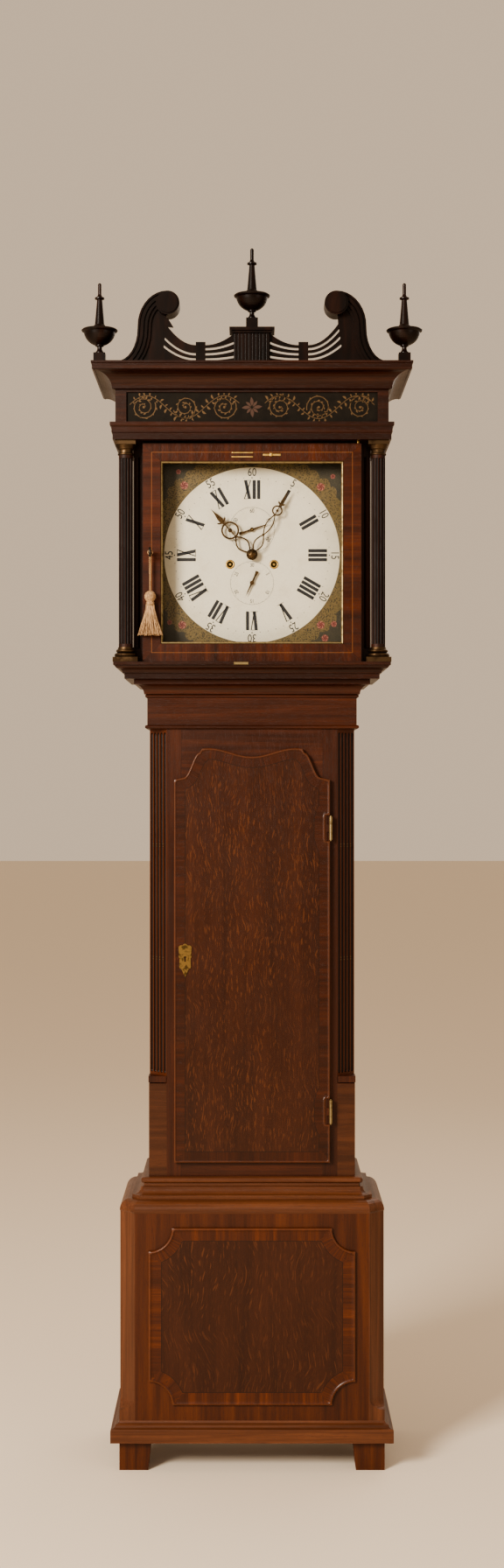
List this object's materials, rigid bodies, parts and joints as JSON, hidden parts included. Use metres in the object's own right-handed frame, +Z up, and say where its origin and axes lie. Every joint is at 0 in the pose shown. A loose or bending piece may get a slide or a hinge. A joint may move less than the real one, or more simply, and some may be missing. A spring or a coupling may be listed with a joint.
{
  "type": "longcase clock",
  "caption": "Tall wooden pendulum clock with hinged trunk door, lift-off hood, swan-neck pediment and a weight-driven striking movement",
  "frame": {"origin": "on the floor, at the middle of the width and of the whole depth", "axes": "+Z up the case, +X to the viewer's right, -Y towards the viewer"},
  "size_m": [0.638, 0.296, 2.2893],
  "materials": {
    "mahogany": "polished dark red-brown",
    "oak": "polished quarter-sawn oak with flecks",
    "softwood": "unfinished pine",
    "brass": "lacquered and aged",
    "old_brass": "patinated",
    "steel": "polished arbors",
    "iron": "dark cast iron",
    "bell_metal": "pale bell metal",
    "dial_paint": "painted dial",
    "frieze_paint": "black ground with gold-brown leaves",
    "glass": "clear",
    "gut": "gut line",
    "silk": "straw-coloured thread"
  },
  "bodies": {
    "case": {"backboard": "softwood", "feet": "mahogany", "base_carcass": "mahogany", "base_panel": "oak", "skirt_moulding": "mahogany", "base_top_moulding": "mahogany", "trunk_sides": "mahogany", "trunk_front": "mahogany", "trunk_corners": "mahogany", "throat_moulding": "mahogany", "seatboard": "softwood", "case_hinges": "brass", "front_plate": "brass", "back_plate": "brass", "bell": "bell_metal", "dial": "dial_paint"},
    "centre_arbor": {"centre_wheel": "brass", "minute_hand": "brass"},
    "minute_work": {"minute_wheel": "brass"},
    "hour_pipe": {"hour_wheel": "brass", "hour_hand": "brass"},
    "third_arbor": {"third_wheel": "brass"},
    "escape_arbor": {"escape_wheel": "brass", "seconds_hand": "brass"},
    "date_work": {"date_hand": "brass"},
    "anchor_arbor": {"anchor": "steel"},
    "pendulum": {"pendulum_rod": "steel", "pendulum_bob": "brass"},
    "going_great": {"going_great_wheel": "brass"},
    "going_barrel": {"going_drum": "brass"},
    "going_load": {"going_weight": "iron", "going_line": "gut"},
    "going_sheave": {"going_pulley": "brass"},
    "strike_great": {"strike_great_wheel": "brass"},
    "strike_barrel": {"strike_drum": "brass"},
    "strike_load": {"strike_weight": "iron", "strike_line": "gut"},
    "strike_sheave": {"strike_pulley": "brass"},
    "pin_arbor": {"pin_wheel": "brass"},
    "gathering_arbor": {"gathering_wheel": "brass"},
    "warning_arbor": {"warning_wheel": "brass"},
    "fly_arbor": {"fly": "brass"},
    "hammer_arbor": {"hammer": "steel"},
    "trunk_leaf": {"trunk_door": "oak", "trunk_lock": "brass"},
    "hood": {"hood_frame": "mahogany", "hood_base_moulding": "mahogany", "hood_columns": "mahogany", "column_mounts": "old_brass", "hood_architrave": "mahogany", "hood_cornice": "mahogany", "frieze_panel": "frieze_paint", "pediment_fret": "mahogany", "swan_necks": "mahogany", "finials": "mahogany"},
    "hood_leaf": {"hood_door_frame": "mahogany", "hood_door_glass": "glass", "hood_door_pivots": "brass"},
    "key": {"hood_key": "brass"},
    "tassel_drop": {"tassel": "silk"}
  },
  "joints": [
    {"name": "centre_turn", "type": "hinge", "parent": "case", "child": "centre_arbor", "pos_m": [0, 0, 1.7238], "axis": [0, 1, 0], "continuous": true},
    {"name": "minute_work_turn", "type": "hinge", "parent": "case", "child": "minute_work", "pos_m": [0, 0, 1.695], "axis": [0, 1, 0], "continuous": true},
    {"name": "hour_turn", "type": "hinge", "parent": "case", "child": "hour_pipe", "pos_m": [0, 0, 1.7238], "axis": [0, 1, 0], "continuous": true},
    {"name": "third_turn", "type": "hinge", "parent": "case", "child": "third_arbor", "pos_m": [0.0141, 0, 1.748], "axis": [0, 1, 0], "continuous": true},
    {"name": "escape_turn", "type": "hinge", "parent": "case", "child": "escape_arbor", "pos_m": [0, 0, 1.7722], "axis": [0, 1, 0], "continuous": true},
    {"name": "date_turn", "type": "hinge", "parent": "case", "child": "date_work", "pos_m": [0, 0, 1.6708], "axis": [0, 1, 0], "continuous": true},
    {"name": "going_great_turn", "type": "hinge", "parent": "case", "child": "going_great", "pos_m": [0.0418, 0, 1.7064], "axis": [0, 1, 0], "continuous": true},
    {"name": "going_barrel_turn", "type": "hinge", "parent": "case", "child": "going_barrel", "pos_m": [0.0418, 0, 1.7064], "axis": [0, 1, 0], "continuous": true},
    {"name": "strike_barrel_turn", "type": "hinge", "parent": "case", "child": "strike_barrel", "pos_m": [-0.0418, 0, 1.7064], "axis": [0, 1, 0], "continuous": true},
    {"name": "strike_great_turn", "type": "hinge", "parent": "case", "child": "strike_great", "pos_m": [-0.0418, 0, 1.7064], "axis": [0, 1, 0], "continuous": true},
    {"name": "pin_turn", "type": "hinge", "parent": "case", "child": "pin_arbor", "pos_m": [-0.0418, 0, 1.7465], "axis": [0, 1, 0], "continuous": true},
    {"name": "gathering_turn", "type": "hinge", "parent": "case", "child": "gathering_arbor", "pos_m": [-0.0338, 0, 1.7704], "axis": [0, 1, 0], "continuous": true},
    {"name": "warning_turn", "type": "hinge", "parent": "case", "child": "warning_arbor", "pos_m": [-0.0458, 0, 1.785], "axis": [0, 1, 0], "continuous": true},
    {"name": "fly_turn", "type": "hinge", "parent": "case", "child": "fly_arbor", "pos_m": [-0.0368, 0, 1.7975], "axis": [0, 1, 0], "continuous": true},
    {"name": "pendulum_swing", "type": "hinge", "parent": "case", "child": "pendulum", "pos_m": [0, 0.088, 1.7998], "axis": [0, 1, 0], "range_deg": [-3, 3]},
    {"name": "anchor_rock", "type": "hinge", "parent": "case", "child": "anchor_arbor", "pos_m": [0, 0.088, 1.7998], "axis": [0, 1, 0], "range_deg": [-3, 3]},
    {"name": "going_weight_drop", "type": "slide", "parent": "case", "child": "going_load", "axis": [0, 0, -1], "range_m": [0, 0.85], "deforming": ["going_line"]},
    {"name": "going_sheave_turn", "type": "hinge", "parent": "going_load", "child": "going_sheave", "pos_m": [0.0418, 0, 1.398], "axis": [0, 1, 0], "continuous": true},
    {"name": "strike_weight_drop", "type": "slide", "parent": "case", "child": "strike_load", "axis": [0, 0, -1], "range_m": [0, 0.85], "deforming": ["strike_line"]},
    {"name": "strike_sheave_turn", "type": "hinge", "parent": "strike_load", "child": "strike_sheave", "pos_m": [-0.0418, 0, 1.398], "axis": [0, 1, 0], "continuous": true},
    {"name": "hammer_lift", "type": "hinge", "parent": "case", "child": "hammer_arbor", "pos_m": [-0.066, 0, 1.7758], "axis": [0, 1, 0], "range_deg": [-6, 0], "stiffness_Nm_per_rad": 0.05, "springref_deg": 5.73},
    {"name": "trunk_door_hinge", "type": "hinge", "parent": "case", "child": "trunk_leaf", "pos_m": [0.1495, -0.0575, 1], "axis": [0, 0, 1], "range_deg": [0, 110]},
    {"name": "hood_slide", "type": "slide", "parent": "case", "child": "hood", "axis": [0, -1, 0], "range_m": [0, 0.3]},
    {"name": "hood_door_hinge", "type": "hinge", "parent": "hood", "child": "hood_leaf", "pos_m": [0.2, -0.083, 1.7238], "axis": [0, 0, 1], "range_deg": [0, 95]},
    {"name": "key_turn", "type": "hinge", "parent": "hood_leaf", "child": "key", "pos_m": [-0.191, -0.1, 1.7218], "axis": [0, 1, 0], "range_deg": [0, 90]},
    {"name": "tassel_swing", "type": "hinge", "parent": "hood_leaf", "child": "tassel_drop", "pos_m": [-0.191, -0.101, 1.7218], "axis": [0, 1, 0], "range_deg": [-10, 3]}
  ],
  "couplings": [
    {"joint": "minute_work_turn", "follows": "centre_turn", "ratio": -1},
    {"joint": "hour_turn", "follows": "centre_turn", "ratio": 0.083333},
    {"joint": "third_turn", "follows": "centre_turn", "ratio": -7.5},
    {"joint": "escape_turn", "follows": "centre_turn", "ratio": 60},
    {"joint": "date_turn", "follows": "centre_turn", "ratio": 0.0013441},
    {"joint": "going_great_turn", "follows": "centre_turn", "ratio": -0.083333},
    {"joint": "strike_great_turn", "follows": "gathering_turn", "ratio": 0.011905},
    {"joint": "pin_turn", "follows": "gathering_turn", "ratio": -0.125},
    {"joint": "warning_turn", "follows": "gathering_turn", "ratio": -8},
    {"joint": "fly_turn", "follows": "gathering_turn", "ratio": 56},
    {"joint": "anchor_rock", "follows": "pendulum_swing", "ratio": 1},
    {"joint": "going_barrel_turn", "follows": "going_weight_drop", "rad_per_m": -79.365},
    {"joint": "going_sheave_turn", "follows": "going_weight_drop", "rad_per_m": -39.683},
    {"joint": "strike_barrel_turn", "follows": "strike_weight_drop", "rad_per_m": -79.365},
    {"joint": "strike_sheave_turn", "follows": "strike_weight_drop", "rad_per_m": -39.683}
  ]
}
